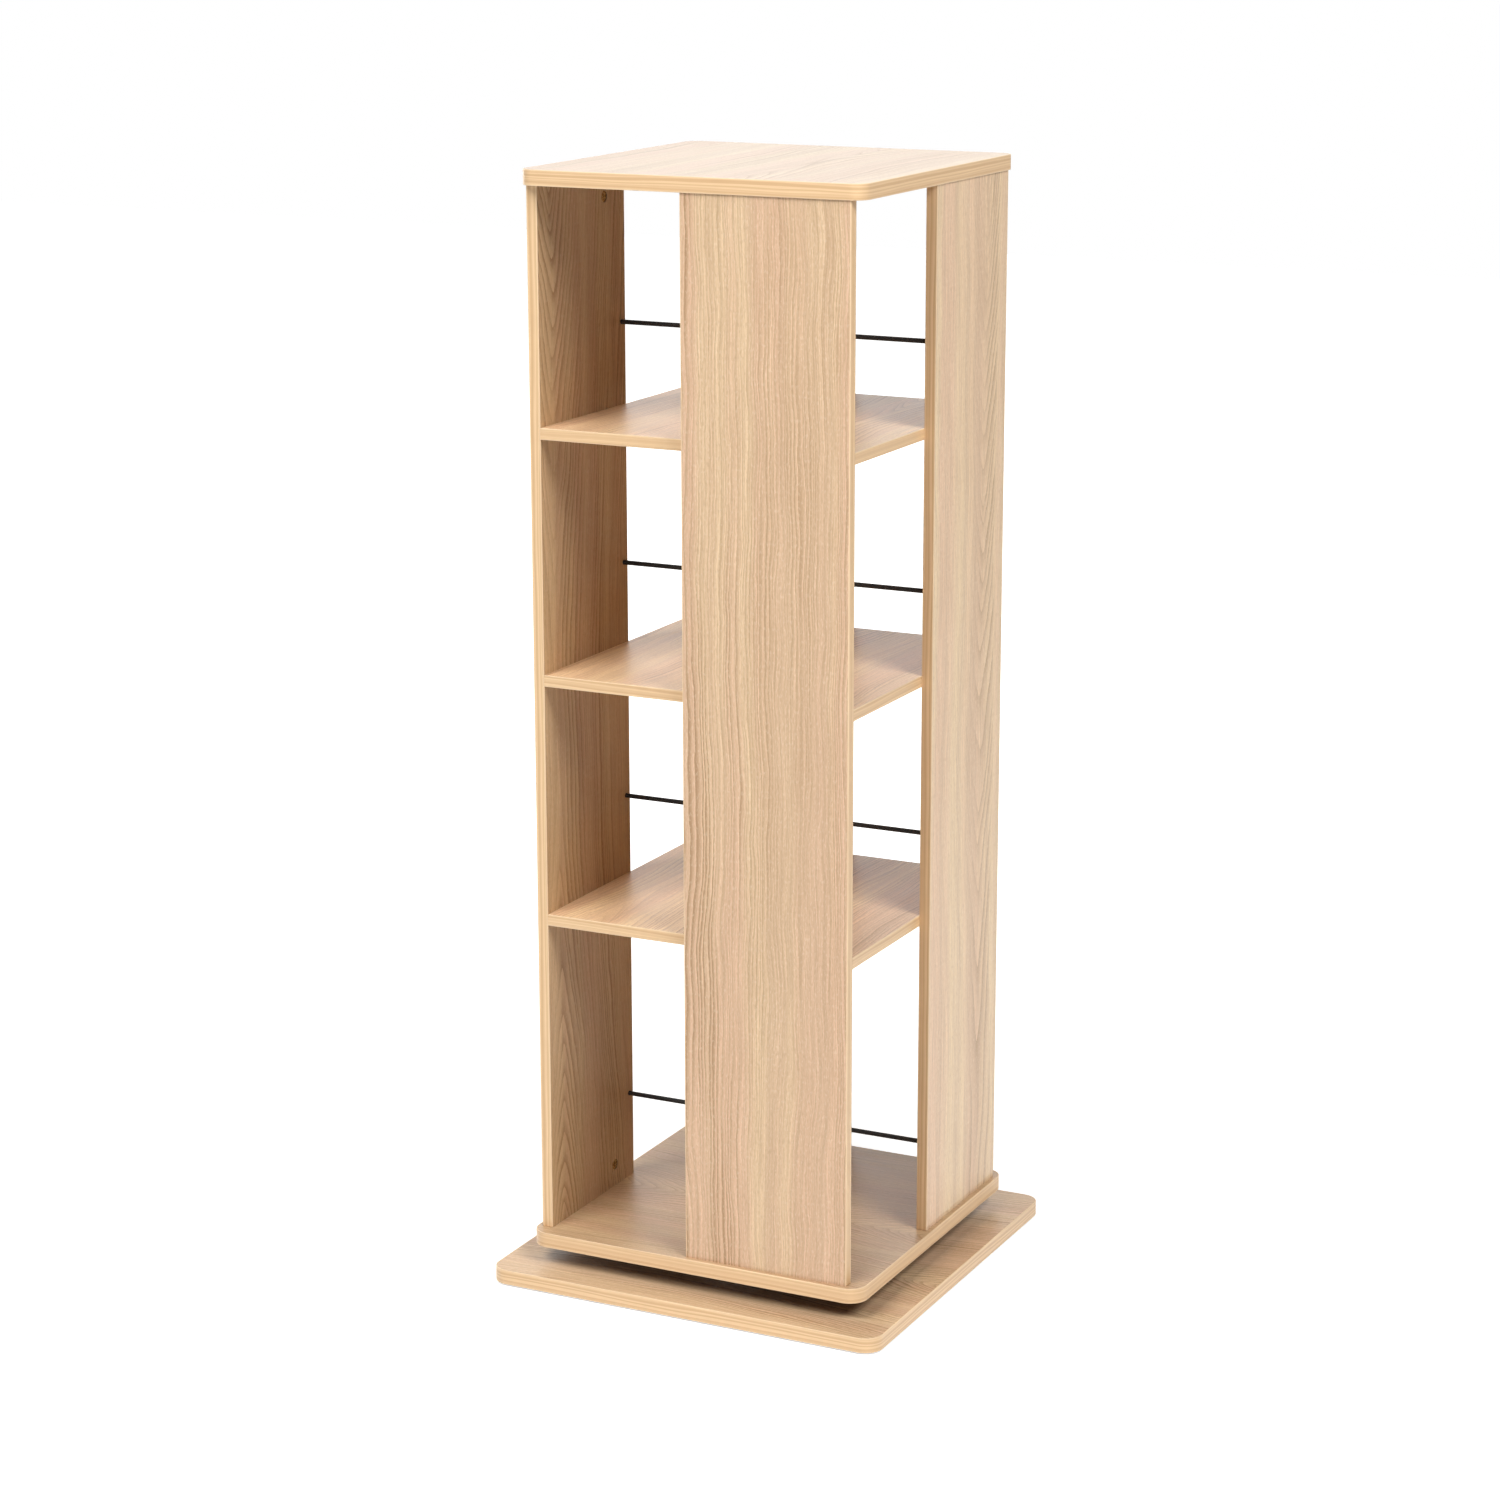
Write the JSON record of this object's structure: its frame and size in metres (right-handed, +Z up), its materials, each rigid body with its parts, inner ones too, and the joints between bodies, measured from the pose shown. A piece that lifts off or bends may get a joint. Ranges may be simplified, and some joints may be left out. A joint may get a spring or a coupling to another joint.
{
  "type": "revolving bookcase",
  "caption": "Tall square revolving bookcase: open shelves between pinwheel side panels, thin black divider rods, turning on a ball-bearing turntable over a wider base board.",
  "frame": {"origin": "on the floor, at the middle of the base board and on the turning axis", "axes": "+Z up along the turning axis; -Y out of the front panel, +X towards the right panel, at rest"},
  "size_m": [0.45, 0.45, 1.174],
  "materials": {
    "oak_laminate": "satin oak-effect laminate with fine printed grain",
    "oak_edge_band": "satin oak-effect edge band, grain along its length",
    "black_rod": "black powder coat, low sheen",
    "cam_zinc": "plain zinc die casting",
    "bolt_steel": "zinc plated",
    "dowel_beech": "plain beech",
    "ring_aluminium": "mill finish",
    "ball_steel": "polished",
    "cage_nylon": "natural nylon",
    "screw_steel": "zinc plated",
    "pad_rubber": "matt non-slip pad"
  },
  "bodies": {
    "base": {"floor_pads": "pad_rubber", "base_board": "oak_laminate", "base_edge_band": "oak_edge_band", "turntable_outer_ring": "ring_aluminium", "outer_ring_screws": "screw_steel"},
    "bearing": {"ball_cage": "cage_nylon", "bearing_balls": "ball_steel"},
    "tower": {"turntable_inner_ring": "ring_aluminium", "inner_ring_screws": "screw_steel", "bottom_board": "oak_laminate", "bottom_edge_band": "oak_edge_band", "top_board": "oak_laminate", "top_edge_band": "oak_edge_band", "front_panel": "oak_laminate", "front_panel_edge_bands": "oak_edge_band", "right_panel": "oak_laminate", "right_panel_edge_bands": "oak_edge_band", "back_panel": "oak_laminate", "back_panel_edge_bands": "oak_edge_band", "left_panel": "oak_laminate", "left_panel_edge_bands": "oak_edge_band", "shelf_1": "oak_laminate", "shelf_1_edge_bands": "oak_edge_band", "shelf_2": "oak_laminate", "shelf_2_edge_bands": "oak_edge_band", "shelf_3": "oak_laminate", "shelf_3_edge_bands": "oak_edge_band", "divider_rod_1": "black_rod", "divider_rod_2": "black_rod", "divider_rod_3": "black_rod", "divider_rod_4": "black_rod", "panel_cam_locks": "cam_zinc", "panel_cam_bolts": "bolt_steel", "panel_dowels": "dowel_beech", "shelf_cam_locks": "cam_zinc", "shelf_cam_bolts": "bolt_steel", "shelf_dowels": "dowel_beech"}
  },
  "joints": [
    {"name": "tower_spin", "type": "hinge", "parent": "base", "child": "tower", "pos_m": [0, 0, 0.028], "axis": [0, 0, 1], "continuous": true},
    {"name": "bearing_spin", "type": "hinge", "parent": "base", "child": "bearing", "pos_m": [0, 0, 0.028], "axis": [0, 0, 1], "continuous": true}
  ],
  "couplings": [
    {"joint": "bearing_spin", "follows": "tower_spin", "ratio": 0.4864}
  ]
}
